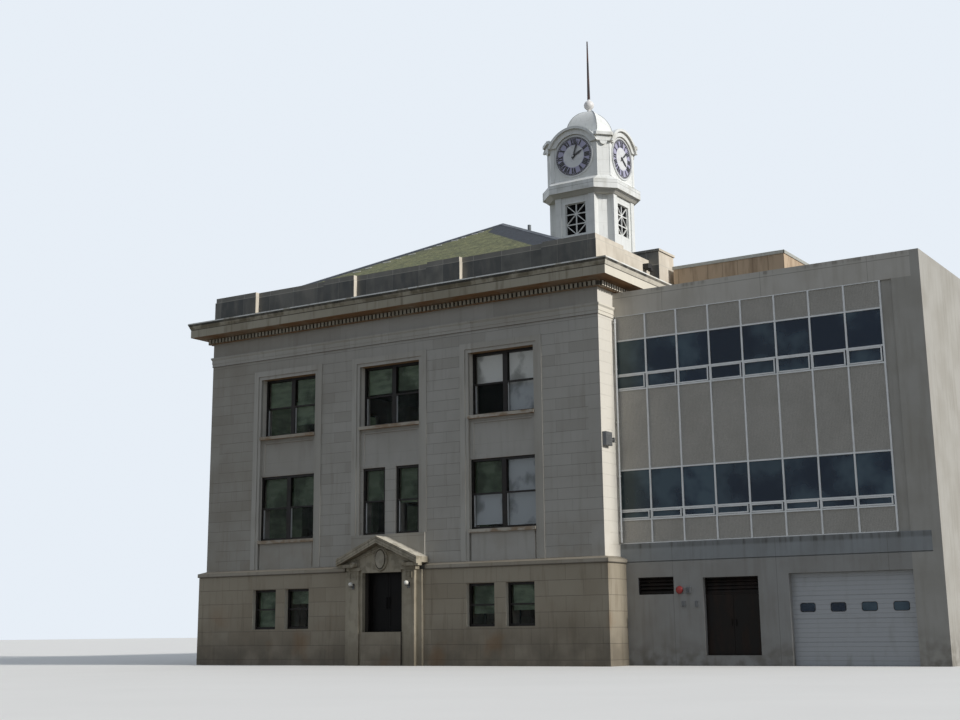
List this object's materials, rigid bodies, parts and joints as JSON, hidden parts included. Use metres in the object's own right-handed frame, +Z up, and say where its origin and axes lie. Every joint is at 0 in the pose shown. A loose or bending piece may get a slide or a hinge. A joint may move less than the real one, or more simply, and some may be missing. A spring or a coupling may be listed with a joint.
{
  "type": "courthouse",
  "caption": "Stone courthouse with a hip roof and a domed clock tower over a pedimented entrance, joined to a curtain-wall annex with service and garage doors.",
  "frame": {"origin": "on the centre line of the entrance front, under the face of its upper wall, level with the lowest ground the walls meet", "axes": "+X along the entrance front towards the annex, +Y into the building, +Z up"},
  "size_m": [30.14, 35.59, 30.63],
  "materials": {
    "limestone": "stone, plain finish standing in for limestone",
    "bronze_frames": "dark bronze paint",
    "window_glass": "clear",
    "roof_shingles": "mossy shingles",
    "roof_metal": "weathered grey",
    "concrete_floors": "plain concrete",
    "entrance_door": "dark bronze paint",
    "lamp_glass": "white globes",
    "white_metal": "white paint",
    "dark_metal": "dark, weathered",
    "dial": "painted dial",
    "tan_masonry": "stone and render",
    "curtain_aluminium": "satin",
    "aggregate_panels": "exposed aggregate",
    "brown_metal": "brown paint",
    "garage_door": "off-white paint"
  },
  "bodies": {
    "building": {"basement_wall_front": "limestone", "basement_wall_back": "limestone", "basement_side_walls": "limestone", "entrance_threshold": "limestone", "belt_course": "limestone", "upper_wall_front": "limestone", "upper_wall_back": "limestone", "upper_wall_left": "limestone", "upper_wall_right": "limestone", "window_surrounds": "limestone", "window_sills": "limestone", "architrave_band": "limestone", "cornice_ends": "limestone", "cornice_sides": "limestone", "parapet_ends": "limestone", "parapet_sides": "limestone", "parapet_coping": "limestone", "roof_blocks": "limestone", "portal_pilasters": "limestone", "portal_pediment": "limestone", "upper_windows": "bronze_frames", "basement_windows": "bronze_frames", "entrance_frame": "bronze_frames", "window_glass": "window_glass", "curtain_glass": "window_glass", "roof_planes": "roof_shingles", "hip_flashing": "roof_metal", "vent_pipe": "roof_metal", "main_floors": "concrete_floors", "annex_floors": "concrete_floors", "wall_lamps": "lamp_glass", "tower_base": "white_metal", "tower_lattice": "white_metal", "tower_skirt": "white_metal", "clock_stage": "white_metal", "arched_cornice": "white_metal", "dome": "white_metal", "finial": "dark_metal", "rear_clock_hands": "dark_metal", "clock_dials": "dial", "annex_ground_walls": "tan_masonry", "annex_door_stones": "tan_masonry", "annex_band": "tan_masonry", "annex_end_wall": "tan_masonry", "annex_fascia": "tan_masonry", "penthouse": "tan_masonry", "curtain_frame_front": "curtain_aluminium", "curtain_frame_back": "curtain_aluminium", "curtain_panels": "aggregate_panels", "annex_louvres": "brown_metal", "garage_door": "garage_door"},
    "entrance_door_left": {"entrance_door_left": "entrance_door"},
    "entrance_door_right": {"entrance_door_right": "entrance_door"},
    "service_door_left": {"service_door_left": "brown_metal"},
    "service_door_right": {"service_door_right": "brown_metal"},
    "front_hour_hand": {"front_hour_hand": "dark_metal"},
    "front_minute_hand": {"front_minute_hand": "dark_metal"},
    "right_hour_hand": {"right_hour_hand": "dark_metal"},
    "right_minute_hand": {"right_minute_hand": "dark_metal"}
  },
  "joints": [
    {"name": "entrance_left_hinge", "type": "hinge", "parent": "building", "child": "entrance_door_left", "pos_m": [-0.81, 0.045, 2.2], "axis": [0, 0, -1], "range_deg": [0, 90]},
    {"name": "entrance_right_hinge", "type": "hinge", "parent": "building", "child": "entrance_door_right", "pos_m": [0.81, 0.045, 2.2], "axis": [0, 0, 1], "range_deg": [0, 90]},
    {"name": "service_left_hinge", "type": "hinge", "parent": "building", "child": "service_door_left", "pos_m": [12.24, 1.355, 1.3], "axis": [0, 0, -1], "range_deg": [0, 90]},
    {"name": "service_right_hinge", "type": "hinge", "parent": "building", "child": "service_door_right", "pos_m": [14.1, 1.355, 1.3], "axis": [0, 0, 1], "range_deg": [0, 90]},
    {"name": "front_minute_spindle", "type": "hinge", "parent": "building", "child": "front_minute_hand", "pos_m": [0, 15.27, 23.95], "axis": [0, 1, 0], "continuous": true},
    {"name": "front_hour_spindle", "type": "hinge", "parent": "building", "child": "front_hour_hand", "pos_m": [0, 15.27, 23.95], "axis": [0, 1, 0], "continuous": true},
    {"name": "right_minute_spindle", "type": "hinge", "parent": "building", "child": "right_minute_hand", "pos_m": [1.73, 17, 23.95], "axis": [-1, 0, 0], "continuous": true},
    {"name": "right_hour_spindle", "type": "hinge", "parent": "building", "child": "right_hour_hand", "pos_m": [1.73, 17, 23.95], "axis": [-1, 0, 0], "continuous": true}
  ],
  "couplings": [
    {"joint": "front_hour_spindle", "follows": "front_minute_spindle", "ratio": 0.083333},
    {"joint": "right_minute_spindle", "follows": "front_minute_spindle", "ratio": 1},
    {"joint": "right_hour_spindle", "follows": "front_minute_spindle", "ratio": 0.083333}
  ]
}
